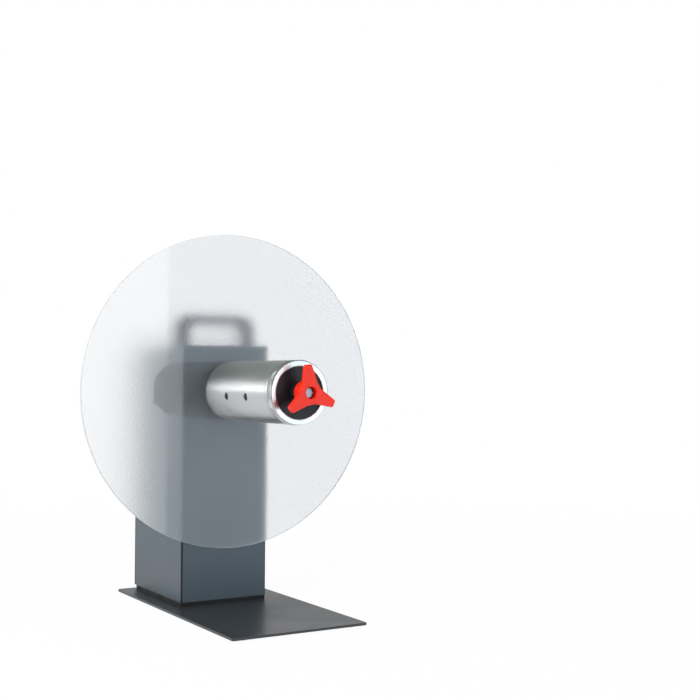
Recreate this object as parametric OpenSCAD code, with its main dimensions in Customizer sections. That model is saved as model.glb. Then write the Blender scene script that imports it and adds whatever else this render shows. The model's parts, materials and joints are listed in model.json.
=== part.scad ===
// Manual label rewinder: a bench column with a hand crank at the back, and at the front
// a clear flange disc and an expanding core drum worked by a tri-lobe knob.
// Millimetres. +Z is up and -Y is the front, where the drum points.

/* [Base] */
// Width of the base plate
base_w = 177; // [150:1:240]
// How far the base plate's middle lies to the right of the shaft
base_shift = 5; // [0:0.5:20]
// How far the base plate reaches in front of the column
base_front = 198; // [150:1:240]
// How far the base plate reaches behind the column
base_back = 2; // [0:1:40]
// Thickness of the base plate
base_t = 3; // [3:0.5:8]
// Corner radius of the base plate
base_corner_r = 3; // [1:0.5:12]
// Height of the rubber feet
foot_h = 2; // [1:0.5:6]
// Radius of a rubber foot
foot_r = 11; // [8:1:18]
// Distance from a foot's centre to the plate's edges
foot_inset = 18; // [18:1:30]

/* [Column] */
// Width of the column
column_w = 120; // [100:1:170]
// Depth of the column
column_d = 160; // [120:1:220]
// Room inside the column between the bearing housings and the bridge above them
column_room = 1; // [0.5:0.5:60]
// Open gap between the base plate and the column's lower edge
column_gap = 5; // [1:0.5:6]
// Thickness of the casing sheet
sheet_t = 2; // [1:0.1:2.5]
// Outer bend radius of the casing sheet
bend_r = 3; // [2.6:0.1:6]
// Thickness of the chassis plate inside the column
chassis_t = 4; // [3:0.5:6]
// Side gap between the chassis and the casing
chassis_gap = 4; // [2:0.5:6]
// Height of the bridge's screw tabs
bridge_tab_h = 14; // [12:0.5:14]

/* [Shaft] */
// Height of the shaft above the base plate
shaft_height = 273; // [235:1:400]
// Radius of the shaft
shaft_r = 10; // [8:0.5:10]
// Outer radius of the ball bearings
bearing_r = 21; // [20:0.5:22]
// Width of the ball bearings
bearing_w = 12; // [10:0.5:14]
// Radius of a bearing ball
ball_r = 3.1; // [2.5:0.1:3.2]
// Number of balls in each bearing
ball_count = 9; // [6:1:9]
// Width of the clamping collars on the shaft
collar_w = 10; // [8:1:14]
// How far the shaft reaches into the drum
shaft_reach = 44; // [36:1:46]

/* [Flange disc] */
// Radius of the clear disc
disc_r = 200; // [120:1:220]
// Thickness of the clear disc
disc_t = 4; // [3:0.5:6]
// Gap between the column and the disc
disc_gap = 16.8; // [15:0.1:30]
// How far the edge of the hub flange lies inside the drum's surface
hub_inset = 2.8; // [1:0.1:6]
// Thickness of the hub flange behind the disc
hub_t = 6; // [4:0.5:7]

/* [Core drum] */
// Radius of the drum, just under that of the card cores it carries
drum_r = 37.8; // [37:0.1:40]
// Wall of the drum tube
drum_wall = 3.3; // [2.5:0.1:4]
// Length of the front ring
ring_len = 16; // [13:0.5:20]
// Length of the knurled band behind the front ring's nose
knurl_len = 7; // [4:0.5:8]
// Width of the front ring's polished face
ring_face_w = 7.4; // [5:0.1:9]
// How far the black face plate lies behind the ring's face
face_recess = 2; // [1:0.1:3]
// Thickness of the black face plate
face_t = 1.5; // [1:0.1:2]
// Thickness of the rear drum plug
rear_plug_t = 16; // [14:0.5:20]
// Length of the front drum plug
front_plug_len = 24; // [20:0.5:26]

/* [Grip pins] */
// Radius of the grip pins' holes in the drum
pin_hole_r = 4; // [3:0.1:4.2]
// Distance from the disc to the rear row of grip pins
rear_row = 59; // [48:1:80]
// Distance between the two rows of grip pins
row_gap = 52; // [40:1:80]
// Distance from the front row of grip pins to the ring's face
front_row_back = 66; // [56:1:100]
// How far the grip pins lie under the drum's surface when drawn in
pin_sunk = 1.8; // [1:0.1:2]
// How far the grip pins travel
pin_travel = 3; // [2:0.1:3.2]
// Angle of the first grip pins, counted from the right as seen from the front
pin_angle = 188.6; // [180:0.1:200]

/* [Knob] */
// Distance from the ring's face to the knob's front face
knob_stand = 27.5; // [24:0.5:34]
// Thickness of the knob's lobes
knob_t = 6; // [4:0.5:9]
// Radius of the knob's boss behind the lobes
knob_boss_r = 14.3; // [13:0.1:18]
// Length of the knob's boss behind the lobes
knob_boss_len = 11; // [8:0.5:13]
// Reach of a lobe from the centre
lobe_reach = 32.5; // [28:0.5:36.5]
// Half width of a lobe at its tip
lobe_half_w = 4.6; // [3:0.1:6]
// Radius of the lobe's corners
lobe_corner_r = 2.1; // [1:0.1:2.8]
// Radius of the blend between two lobes
lobe_blend_r = 14; // [8:1:30]
// Draft of a lobe's sides in degrees
lobe_taper = 13; // [6:1:16]
// Angle of the first lobe, counted from the right as seen from the front
lobe_angle = 97; // [90:1:120]

/* [Carry handle] */
// Distance from the column's side to the end of the carry handle
handle_inset = 5; // [4:0.5:15]
// Height of the carry handle
handle_h = 40; // [34:1:60]
// Depth of the carry handle from front to back
handle_d = 20; // [16:0.5:28]
// Width of each leg of the carry handle
leg_w = 17; // [15:0.5:20]
// Thickness of the carry handle's bar
bar_t = 12; // [9:0.5:16]
// Distance from the column's front to the middle of the carry handle
handle_back = 38; // [30:1:120]

/* [Crank] */
// Distance from the shaft to the grip
crank_reach = 110; // [80:1:150]
// Thickness of the crank arm
arm_t = 7; // [6:0.5:10]
// Radius of the crank's boss on the shaft
boss_r = 16; // [15:0.5:20]
// Length of the crank's boss in front of the arm
boss_len = 16; // [14:0.5:26]
// Radius of the arm's end at the grip
arm_end_r = 10; // [9:0.5:12]
// Length of the grip
grip_len = 87.5; // [60:0.5:100]
// Largest radius of the grip
grip_r = 14; // [12:0.5:17]

/* [Hidden] */
$fn = 64;
// Named clearances and the overrun of every cut
over = 1;
running_fit = 0.05;
part_gap = 0.3;
screw_gap = 0.2;

// Heights
plate_top = foot_h + base_t;
column_z = plate_top + column_gap;
shaft_z = plate_top + shaft_height;
chassis_w = column_w - 2 * sheet_t - 2 * chassis_gap;
handle_w = column_w - 2 * handle_inset;

// Places along the shaft, counted to the front from the column's front face
disc_back_s = disc_gap;
disc_front_s = disc_back_s + disc_t;
rear_row_s = disc_front_s + rear_row;
front_row_s = rear_row_s + row_gap;
ring_face_s = front_row_s + front_row_back;
knob_front_s = ring_face_s + knob_stand;
lobe_back_s = knob_front_s - knob_t;
knob_back_s = lobe_back_s - knob_boss_len;
crank_gap = 4;
arm_root_share = 0.8;
boss_front_s = -column_d - crank_gap;
arm_front_s = boss_front_s - boss_len;
arm_back_s = arm_front_s - arm_t;
grip_front_s = arm_back_s - part_gap;
grip_back_s = grip_front_s - grip_len;

// The origin lies under the middle of the whole machine
reach_front = max(knob_front_s, base_front);
reach_back = max(-grip_back_s, column_d + base_back);
column_front_y = (reach_front - reach_back) / 2;

// Bearings and their housings
race_shoulder_r = 1.8;
ball_gap = 0.15;
ball_ring_r = (shaft_r + bearing_r) / 2;
housing_flange_t = 6;
housing_wall = 5;
housing_rim = 12;
housing_body_r = bearing_r + housing_wall;
housing_flange_r = housing_body_r + housing_rim;
housing_lip = 3;
housing_len = housing_lip + bearing_w + housing_lip;
bridge_tab_z = shaft_z + housing_flange_r + column_room;
bridge_z = bridge_tab_z + bridge_tab_h;
casing_top = bridge_z + chassis_t;
column_top = casing_top + sheet_t;
column_h = column_top - column_z;
housing_bolt_ring_r = (housing_body_r + housing_flange_r) / 2;
housing_bolt_r = 3;
bearing_mid = sheet_t + chassis_t + housing_lip + bearing_w / 2;
race_end = bearing_mid + bearing_w / 2;
collar_wall = 6;
collar_r = shaft_r + collar_wall;
seal_wall = 8;
seal_lip = 4;
seal_flange_t = 1.5;
seal_spigot_r = shaft_r + seal_wall;
seal_flange_r = seal_spigot_r + seal_lip;
opening_r = seal_spigot_r + screw_gap;

// Hub behind the disc
hub_wall = 7;
hub_boss_r = shaft_r + hub_wall;
hub_r = drum_r - hub_inset;
hub_boss_end = 2 * seal_flange_t;
hub_screw_r = 2.5;
hub_screw_ring_r = (hub_boss_r + hub_r) / 2;
hub_screw_depth_share = 0.75;
hub_screw_depth = hub_screw_depth_share * rear_plug_t;
hub_screw_count = 4;
grub_r = 2.5;

// Drum
ring_seat = 2.5;
ring_edge = 1.6;
eye_edge_w = 2;
eye_edge_share = 0.75;
eye_edge_h = eye_edge_share * face_recess;
knurl_land = 0.8;
bore_r = drum_r - drum_wall;
ring_bore_r = drum_r - ring_face_w;
ring_back_s = ring_face_s - ring_len;
ring_lip_s = ring_face_s - face_recess - face_t - ring_seat;
face_s = ring_face_s - face_recess;
front_plug_s = face_s - face_t - front_plug_len;
joint_groove = 0.6;
knurl_back = ring_len - ring_edge - knurl_land - knurl_len;
row_shares = [0, 1];

// Expander. The screw turns the knob's half turn into the slide of the cones.
cone_slope = 0.5;
cone_travel = pin_travel / cone_slope;
screw_r = 6;
screw_end_r = 4.5;
screw_end_len = 12;
pin_r = pin_hole_r - running_fit;
pin_tip_r = drum_r - pin_sunk;
pin_edge = 1.2;
cone_wall = 1;
cone_small_r = shaft_r + cone_wall;
cone_len = 2 * pin_r + cone_travel + 2 * pin_edge;
cone_big_r = cone_small_r + cone_len * cone_slope;
guide_depth = 6.5;
guide_r = bore_r - guide_depth;
guide_rim = 3;
guide_w = 2 * (pin_hole_r + guide_rim);
garter_r = 1.1;
garter_hole_r = 1.8;
garter_ring_r = guide_r - pin_travel - garter_r - part_gap;
skirt_wall = 3.5;
skirt_r = shaft_r + skirt_wall;
skirt_gap = 3;
shaft_end_s = disc_front_s + shaft_reach;
key_w = 5;
key_h = 2.2;
key_len = 12;
nut_wall = 3.5;
screw_collar_r = 11;
screw_collar_t = 4;

// Knob
knob_bore_r = 7;
knob_bore_share = 0.7;
knob_bore_depth = knob_bore_share * (knob_t + knob_boss_len);
knob_hub_r = 12.5;
knob_bolt_r = 3;
knob_bolt_depth = 14;
knob_head_r = 5.7;
knob_head_t = 4;
knob_washer_t = 1.2;
lobe_side = 90 - lobe_taper;
lobe_line = cos(lobe_side) * (lobe_reach - lobe_corner_r)
    + sin(lobe_side) * (lobe_half_w - lobe_corner_r) + lobe_corner_r;
blend_centre = (lobe_line + lobe_blend_r) / cos(lobe_side - 60);

// Crank and grip
grip_bolt_r = 4;
grip_bolt_head_r = 7;
grip_bolt_head_t = 4;
grip_pocket_rim = 2;
grip_pocket = grip_bolt_head_t + grip_pocket_rim;
grip_nut_t = 6;
grip_bottom_edge = 3;
grip_top_edge = 2;
grip_steps = 12;
grip_neck_share = 0.72;
grip_end_share = 0.86;
end_screw_len = 16;
end_washer_t = 2;
end_washer_lip = 3;

// Fasteners
cover_screw_r = 2;
cover_screw_x_share = 0.78;
cover_screw_z_shares = [0.1, 0.86];
bridge_screw_r = 2.5;
base_screw_r = 2.5;
base_screw_x_share = 0.75;
base_screw_y_shares = [0.17, 0.83];
base_nut_t = 5;
handle_screw_r = 3;
handle_screw_depth = 14;

// Helpers
module along_shaft(s) {
    translate([0, column_front_y - s, shaft_z])
        rotate([90, 0, 0])
            children();
}

module ring(r_out, r_in, h) {
    difference() {
        cylinder(r = r_out, h = h);
        translate([0, 0, -over]) cylinder(r = r_in, h = h + 2 * over);
    }
}

module round_rectangle(w, h, r) {
    square([w - 2 * r, h], center = true);
    square([w, h - 2 * r], center = true);
    for (x = [-1, 1], y = [-1, 1])
        translate([x * (w / 2 - r), y * (h / 2 - r)]) circle(r);
}

module around(radius, count, start = 0) {
    for (i = [0 : count - 1])
        rotate([0, 0, start + i * 360 / count]) translate([radius, 0, 0]) children();
}

module side_plate_along_x(w) {
    translate([-w / 2, 0, 0])
        rotate([90, 0, 90])
            linear_extrude(w) children();
}

// A round-headed screw with its head's underside at z = 0 and its shank below it
module button_screw(r, length) {
    translate([0, 0, -length]) cylinder(r = r, h = length + 0.3 * r);
    difference() {
        cylinder(r1 = 1.75 * r, r2 = 1.3 * r, h = 1.1 * r);
        translate([0, 0, 0.5 * r]) cylinder(r = 0.75 * r, h = r + over, $fn = 6);
    }
}

// A flat-headed screw with its head's flat at z = 0 and its shank below it
module flat_screw(r, length) {
    head_h = r;
    difference() {
        union() {
            translate([0, 0, -length]) cylinder(r = r, h = length);
            translate([0, 0, -head_h]) cylinder(r1 = r, r2 = 2 * r, h = head_h);
        }
        translate([0, 0, -0.6 * r]) cylinder(r = 0.7 * r, h = r + over, $fn = 6);
    }
}

module flat_screw_hole(r, length) {
    translate([0, 0, -length - over]) cylinder(r = r, h = length + over);
    translate([0, 0, -r]) cylinder(r1 = r, r2 = 2 * r, h = r);
    cylinder(r = 2 * r, h = over);
}

module hex_nut(r, t) {
    difference() {
        cylinder(r = 2 * r, h = t, $fn = 6);
        translate([0, 0, -over]) cylinder(r = r, h = t + 2 * over);
    }
}

module grub_screw(r, length) {
    difference() {
        cylinder(r = r, h = length);
        translate([0, 0, length / 2]) cylinder(r = 0.5 * r, h = length, $fn = 6);
    }
}

// Places of the fasteners
module at_base_screws() {
    for (x = [-1, 1], share = base_screw_y_shares)
        translate([x * base_screw_x_share * chassis_w / 2, column_front_y + share * column_d, foot_h])
            children();
}

module at_cover_screws() {
    for (x = [-1, 1], share = cover_screw_z_shares)
        translate([
            x * cover_screw_x_share * chassis_w / 2,
            column_front_y + column_d,
            column_z + share * column_h
        ])
            rotate([-90, 0, 0]) children();
}

module at_handle_screws() {
    for (x = [-1, 1])
        translate([x * (handle_w - leg_w) / 2, column_front_y + handle_back, bridge_z]) children();
}

module at_bridge_screws() {
    for (x = [-1, 1]) {
        translate([x * chassis_w / 3, column_front_y + sheet_t, bridge_z - bridge_tab_h / 2])
            rotate([90, 0, 0]) children();
        translate([x * chassis_w / 3, column_front_y + column_d - sheet_t, bridge_z - bridge_tab_h / 2])
            rotate([-90, 0, 0]) children();
    }
}

module at_housing_bolts_front() {
    along_shaft(0) around(housing_bolt_ring_r, 4, 45) children();
}

module at_housing_bolts_rear() {
    along_shaft(-column_d) mirror([0, 0, 1]) around(housing_bolt_ring_r, 4, 45) children();
}

// Base
module base_plate() {
    plate_d = base_front + column_d + base_back;
    color("#3d4145")
        difference() {
            translate([base_shift, column_front_y - base_front + plate_d / 2, foot_h])
                linear_extrude(base_t) round_rectangle(base_w, plate_d, base_corner_r);
            at_base_screws() mirror([0, 0, 1]) flat_screw_hole(base_screw_r, base_t);
        }
}

module rubber_feet() {
    front_y = column_front_y - base_front + foot_inset;
    back_y = column_front_y + column_d + base_back - foot_inset;
    color("#1c1c1d")
        for (x = [-1, 1], y = [front_y, back_y])
            translate([base_shift + x * (base_w / 2 - foot_inset), y, 0])
                cylinder(r1 = foot_r - foot_h / 4, r2 = foot_r, h = foot_h);
}

module base_screws() {
    length = base_t + chassis_t + base_nut_t;
    color("#b9bcc0") at_base_screws() mirror([0, 0, 1]) flat_screw(base_screw_r, length);
}

module base_nuts() {
    color("#b9bcc0")
        at_base_screws() translate([0, 0, base_t + chassis_t]) hex_nut(base_screw_r, base_nut_t);
}

// Chassis: one bent plate that stands on the base and carries both bearings
module chassis_section() {
    front = column_front_y + sheet_t;
    back = column_front_y + column_d - sheet_t;
    inner_r = chassis_t / 2;
    outer_r = inner_r + chassis_t;
    difference() {
        union() {
            translate([front + outer_r, plate_top])
                square([back - front - 2 * outer_r, bridge_z - plate_top]);
            translate([front, plate_top + outer_r])
                square([back - front, bridge_z - plate_top - outer_r]);
            for (y = [front + outer_r, back - outer_r]) translate([y, plate_top + outer_r]) circle(outer_r);
        }
        translate([front + chassis_t, plate_top + chassis_t + inner_r])
            square([back - front - 2 * chassis_t, bridge_z]);
        translate([front + chassis_t + inner_r, plate_top + chassis_t])
            square([back - front - 2 * chassis_t - 2 * inner_r, bridge_z]);
        for (y = [front + outer_r, back - outer_r]) translate([y, plate_top + outer_r]) circle(inner_r);
    }
}

module chassis() {
    color("#8d9196")
        difference() {
            side_plate_along_x(chassis_w) chassis_section();
            along_shaft(over) mirror([0, 0, 1]) cylinder(r = opening_r, h = column_d + 2 * over);
            at_housing_bolts_front() translate([0, 0, -sheet_t - chassis_t - over])
                cylinder(r = housing_bolt_r, h = chassis_t + 2 * over);
            at_housing_bolts_rear() translate([0, 0, -sheet_t - chassis_t - over])
                cylinder(r = housing_bolt_r, h = chassis_t + 2 * over);
            at_base_screws() cylinder(r = base_screw_r, h = base_t + chassis_t + over);
            at_cover_screws() translate([0, 0, -sheet_t - chassis_t - over])
                cylinder(r = cover_screw_r, h = chassis_t + 2 * over);
            at_bridge_screws() flat_screw_hole(bridge_screw_r, chassis_t + over);
        }
}

// Bridge under the top cover, which takes the pull of the carry handle
module handle_bridge() {
    front = column_front_y + sheet_t;
    back = column_front_y + column_d - sheet_t;
    color("#8d9196")
        difference() {
            union() {
                translate([-chassis_w / 2, front, bridge_z])
                    cube([chassis_w, column_d - sheet_t - bend_r, chassis_t]);
                for (y = [front + chassis_t, back - 2 * chassis_t])
                    translate([-chassis_w / 2, y, bridge_tab_z])
                        cube([chassis_w, chassis_t, bridge_tab_h + chassis_t / 2]);
            }
            at_handle_screws() translate([0, 0, -over])
                cylinder(r = handle_screw_r, h = chassis_t + 2 * over);
            at_bridge_screws() translate([0, 0, -2 * chassis_t - over])
                cylinder(r = bridge_screw_r, h = 2 * chassis_t);
        }
}

module bridge_screws() {
    color("#b9bcc0")
        at_bridge_screws() flat_screw(bridge_screw_r, 2 * chassis_t + 1.6 * bridge_screw_r);
}

module bridge_nuts() {
    color("#b9bcc0")
        at_bridge_screws() translate([0, 0, -2 * chassis_t - 1.6 * bridge_screw_r])
            hex_nut(bridge_screw_r, 1.6 * bridge_screw_r);
}

// Casing: a front and two sides bent from one sheet, and a cover for the top and back.
// The sides end short of the cover's bend.
module column_plan(inset) {
    w = column_w - 2 * inset;
    r = bend_r - inset;
    back = column_d - bend_r;
    translate([-w / 2 + r, inset]) square([w - 2 * r, back - inset]);
    translate([-w / 2, inset + r]) square([w, back - inset - r]);
    for (x = [-1, 1]) translate([x * (w / 2 - r), inset + r]) circle(r);
}

module casing_wrap() {
    color("#4a5257")
        difference() {
            translate([0, column_front_y, column_z])
                linear_extrude(casing_top - column_z)
                    difference() {
                        column_plan(0);
                        column_plan(sheet_t);
                        translate([-column_w / 2 + sheet_t, column_d - bend_r - over])
                            square([column_w - 2 * sheet_t, 2 * over]);
                    }
            along_shaft(over) mirror([0, 0, 1]) cylinder(r = opening_r, h = sheet_t + 2 * over);
            at_housing_bolts_front() translate([0, 0, -sheet_t - over])
                cylinder(r = housing_bolt_r, h = sheet_t + 2 * over);
        }
}

module cover_section() {
    back = column_front_y + column_d;
    inner_r = bend_r - sheet_t;
    difference() {
        union() {
            translate([column_front_y, column_z]) square([column_d - bend_r, column_top - column_z]);
            translate([column_front_y, column_z]) square([column_d, column_top - column_z - bend_r]);
            translate([back - bend_r, column_top - bend_r]) circle(bend_r);
        }
        translate([column_front_y - over, column_z - over])
            square([column_d - sheet_t - inner_r + over, casing_top - column_z + over]);
        translate([column_front_y - over, column_z - over])
            square([column_d - sheet_t + over, casing_top - inner_r - column_z + over]);
        translate([back - bend_r, column_top - bend_r]) circle(inner_r);
    }
}

module top_back_cover() {
    color("#454c51")
        difference() {
            intersection() {
                side_plate_along_x(column_w) cover_section();
                translate([0, column_front_y, column_z - over])
                    linear_extrude(column_h + 2 * over) {
                        column_plan(0);
                        translate([-column_w / 2, column_d / 2]) square([column_w, column_d / 2]);
                    }
            }
            along_shaft(-column_d + sheet_t + over) mirror([0, 0, 1])
                cylinder(r = opening_r, h = sheet_t + 2 * over);
            at_housing_bolts_rear() translate([0, 0, -sheet_t - over])
                cylinder(r = housing_bolt_r, h = sheet_t + 2 * over);
            at_cover_screws() translate([0, 0, -sheet_t - over])
                cylinder(r = cover_screw_r, h = sheet_t + 2 * over);
            at_handle_screws() cylinder(r = handle_screw_r, h = chassis_t + sheet_t + over);
        }
}

module cover_screws() {
    color("#2b2d30") at_cover_screws() button_screw(cover_screw_r, sheet_t + chassis_t);
}

// Carry handle
module handle_section() {
    outer_r = 0.32 * handle_w / 2;
    inner_r = outer_r - bar_t / 2;
    gap_w = handle_w - 2 * leg_w;
    gap_h = handle_h - bar_t;
    difference() {
        union() {
            translate([-handle_w / 2, 0]) square([handle_w, handle_h - outer_r]);
            translate([-handle_w / 2 + outer_r, 0]) square([handle_w - 2 * outer_r, handle_h]);
            for (x = [-1, 1]) translate([x * (handle_w / 2 - outer_r), handle_h - outer_r]) circle(outer_r);
        }
        translate([-gap_w / 2, -over]) square([gap_w, gap_h - inner_r + over]);
        translate([-gap_w / 2 + inner_r, -over]) square([gap_w - 2 * inner_r, gap_h + over]);
        for (x = [-1, 1]) translate([x * (gap_w / 2 - inner_r), gap_h - inner_r]) circle(inner_r);
    }
}

module carry_handle() {
    color("#26282b")
        difference() {
            translate([0, column_front_y + handle_back + handle_d / 2, column_top])
                rotate([90, 0, 0])
                    linear_extrude(handle_d) handle_section();
            at_handle_screws() cylinder(r = handle_screw_r, h = chassis_t + sheet_t + handle_screw_depth);
        }
}

module handle_screws() {
    length = chassis_t + sheet_t + handle_screw_depth;
    color("#b9bcc0") at_handle_screws() mirror([0, 0, 1]) button_screw(handle_screw_r, length);
}

// Bearings
module housing() {
    difference() {
        union() {
            cylinder(r = housing_flange_r, h = housing_flange_t);
            cylinder(r = housing_body_r, h = housing_len);
        }
        translate([0, 0, -over]) cylinder(r = seal_spigot_r, h = housing_len);
        translate([0, 0, housing_lip]) cylinder(r = bearing_r, h = housing_len);
        around(housing_bolt_ring_r, 4, 45) translate([0, 0, -over])
            cylinder(r = housing_bolt_r, h = housing_flange_t + 2 * over);
    }
}

module front_side_up() {
    along_shaft(-sheet_t - chassis_t) mirror([0, 0, 1]) children();
}

module rear_side_up() {
    along_shaft(-column_d + sheet_t + chassis_t) children();
}

module front_bearing_housing() {
    color("#7f8387") front_side_up() housing();
}

module rear_bearing_housing() {
    color("#7f8387") rear_side_up() housing();
}

module housing_bolts() {
    length = sheet_t + chassis_t + housing_flange_t + 1.6 * housing_bolt_r;
    color("#2b2d30") {
        at_housing_bolts_front() button_screw(housing_bolt_r, length);
        at_housing_bolts_rear() button_screw(housing_bolt_r, length);
    }
}

module housing_nuts() {
    nut_t = 1.6 * housing_bolt_r;
    depth = sheet_t + chassis_t + housing_flange_t + nut_t;
    color("#b9bcc0") {
        at_housing_bolts_front() translate([0, 0, -depth]) rotate([0, 0, 30]) hex_nut(housing_bolt_r, nut_t);
        at_housing_bolts_rear() translate([0, 0, -depth]) rotate([0, 0, 30]) hex_nut(housing_bolt_r, nut_t);
    }
}

module at_bearings() {
    along_shaft(-bearing_mid) children();
    along_shaft(-column_d + bearing_mid) children();
}

module race(r_in, r_out) {
    rotate_extrude()
        difference() {
            translate([r_in, -bearing_w / 2]) square([r_out - r_in, bearing_w]);
            translate([ball_ring_r, 0]) circle(ball_r + ball_gap);
        }
}

module outer_races() {
    color("#c6c9cc") at_bearings() race(ball_ring_r + race_shoulder_r, bearing_r);
}

module inner_races() {
    color("#c6c9cc") at_bearings() race(shaft_r, ball_ring_r - race_shoulder_r);
}

module bearing_balls() {
    color("#d9dbdd") at_bearings() around(ball_ring_r, ball_count) sphere(ball_r);
}

module shaft_seal() {
    difference() {
        union() {
            cylinder(r = seal_flange_r, h = seal_flange_t);
            translate([0, 0, -sheet_t - chassis_t])
                cylinder(r = seal_spigot_r, h = sheet_t + chassis_t + seal_flange_t / 2);
        }
        translate([0, 0, -sheet_t - chassis_t - over])
            cylinder(r = shaft_r + part_gap, h = sheet_t + chassis_t + seal_flange_t + 2 * over);
    }
}

module shaft_seals() {
    color("#1c1c1d") {
        along_shaft(0) shaft_seal();
        along_shaft(-column_d) mirror([0, 0, 1]) shaft_seal();
    }
}

module at_collars() {
    along_shaft(-race_end) mirror([0, 0, 1]) children();
    along_shaft(-column_d + race_end) children();
}

module shaft_collars() {
    color("#7f8387")
        at_collars()
            difference() {
                ring(collar_r, shaft_r, collar_w);
                translate([0, 0, collar_w / 2])
                    rotate([-90, 0, 0]) cylinder(r = grub_r, h = collar_r + over);
            }
}

module collar_screws() {
    color("#2b2d30")
        at_collars()
            translate([0, shaft_r, collar_w / 2])
                rotate([-90, 0, 0]) grub_screw(grub_r, collar_r - shaft_r - screw_gap);
}

// Shaft, with a centre bore for the lead screw's end and a tapped hole for the crank
module shaft() {
    back_s = arm_back_s + crank_gap / 4;
    color("#c6c9cc")
        difference() {
            along_shaft(back_s) cylinder(r = shaft_r, h = shaft_end_s - back_s);
            along_shaft(shaft_end_s - screw_end_len - part_gap)
                cylinder(r = screw_end_r + running_fit, h = screw_end_len + over);
            along_shaft(back_s - over) cylinder(r = grub_r, h = end_screw_len + over);
            expander_key_body();
        }
}

module expander_key_body() {
    along_shaft(shaft_end_s - key_len)
        translate([-key_w / 2, shaft_r - key_h, 0]) cube([key_w, 2 * key_h, key_len]);
}

module expander_key() {
    color("#8d9196") expander_key_body();
}

// Flange disc and its hub
module at_hub_screws() {
    around(hub_screw_ring_r, hub_screw_count) children();
}

module disc_hub() {
    color("#b4b7ba")
        along_shaft(disc_back_s) mirror([0, 0, 1])
            difference() {
                union() {
                    cylinder(r = hub_r, h = hub_t);
                    cylinder(r = hub_boss_r, h = disc_gap - hub_boss_end);
                }
                translate([0, 0, -over]) cylinder(r = shaft_r, h = disc_gap + 2 * over);
                at_hub_screws() translate([0, 0, -over]) cylinder(r = hub_screw_r, h = hub_t + 2 * over);
                translate([0, 0, (hub_t + disc_gap - hub_boss_end) / 2])
                    rotate([-90, 0, 0]) cylinder(r = grub_r, h = hub_boss_r + over);
            }
}

module hub_grub_screws() {
    color("#2b2d30")
        along_shaft(disc_back_s) mirror([0, 0, 1])
            translate([0, shaft_r, (hub_t + disc_gap - hub_boss_end) / 2])
                rotate([-90, 0, 0]) grub_screw(grub_r, hub_boss_r - shaft_r - screw_gap);
}

module hub_screws() {
    color("#2b2d30")
        along_shaft(disc_back_s - hub_t) at_hub_screws()
            mirror([0, 0, 1]) button_screw(hub_screw_r, hub_t + disc_t + hub_screw_depth);
}

module flange_disc() {
    color([0.9, 0.93, 0.95, 0.45])
        along_shaft(disc_back_s)
            difference() {
                cylinder(r = disc_r, h = disc_t, $fn = 180);
                translate([0, 0, -over]) cylinder(r = shaft_r, h = disc_t + 2 * over);
                at_hub_screws() translate([0, 0, -over]) cylinder(r = hub_screw_r, h = disc_t + 2 * over);
            }
}

// Drum
module at_pins() {
    for (share = row_shares)
        along_shaft(rear_row_s + share * row_gap) rotate([0, 0, pin_angle]) children();
}

module rear_drum_plug() {
    color("#b4b7ba")
        along_shaft(disc_front_s)
            difference() {
                cylinder(r = bore_r, h = rear_plug_t);
                translate([0, 0, -over]) cylinder(r = shaft_r, h = rear_plug_t + 2 * over);
                at_hub_screws() translate([0, 0, -over])
                    cylinder(r = hub_screw_r, h = hub_screw_depth + over);
            }
}

module pin_bores(start_r, end_r) {
    at_pins()
        for (i = [0 : 2])
            rotate([0, 0, i * 120]) rotate([0, 90, 0]) translate([0, 0, start_r])
                cylinder(r = pin_hole_r, h = end_r - start_r);
}

module core_drum() {
    color("#d3d6d8")
        difference() {
            along_shaft(disc_front_s) ring(drum_r, bore_r, ring_back_s - disc_front_s);
            pin_bores(guide_r, drum_r + over);
        }
}

module pin_guides() {
    color("#b4b7ba")
        difference() {
            for (share = row_shares)
                along_shaft(rear_row_s + share * row_gap - guide_w / 2) ring(bore_r, guide_r, guide_w);
            pin_bores(guide_r - over, drum_r);
        }
}

module front_drum_plug() {
    color("#b4b7ba")
        along_shaft(front_plug_s)
            difference() {
                union() {
                    cylinder(r = bore_r, h = ring_lip_s - front_plug_s);
                    cylinder(r = ring_bore_r, h = front_plug_len);
                }
                translate([0, 0, -over]) cylinder(r = screw_r + running_fit, h = front_plug_len + 2 * over);
            }
}

module front_ring() {
    color("#e2e4e6")
        along_shaft(ring_back_s)
            rotate_extrude($fn = 128)
                polygon([
                    [bore_r, 0],
                    [drum_r - joint_groove, 0],
                    [drum_r - joint_groove, joint_groove],
                    [drum_r, 2 * joint_groove],
                    [drum_r, knurl_back - 2 * joint_groove],
                    [drum_r - joint_groove, knurl_back - joint_groove],
                    [drum_r, knurl_back],
                    [drum_r, ring_len - ring_edge],
                    [drum_r - ring_edge, ring_len],
                    [ring_bore_r + eye_edge_w, ring_len],
                    [ring_bore_r, ring_len - eye_edge_h],
                    [ring_bore_r, ring_lip_s - ring_back_s],
                    [bore_r, ring_lip_s - ring_back_s]
                ]);
}

module face_plate() {
    color("#17181a") along_shaft(face_s - face_t) ring(ring_bore_r, screw_r + part_gap, face_t);
}

// Expander: two cones on one sleeve, moved along by the lead screw
module cone_at_row() {
    translate([0, 0, pin_r + pin_edge - cone_len])
        cylinder(r1 = cone_big_r, r2 = cone_small_r, h = cone_len);
}

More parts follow.
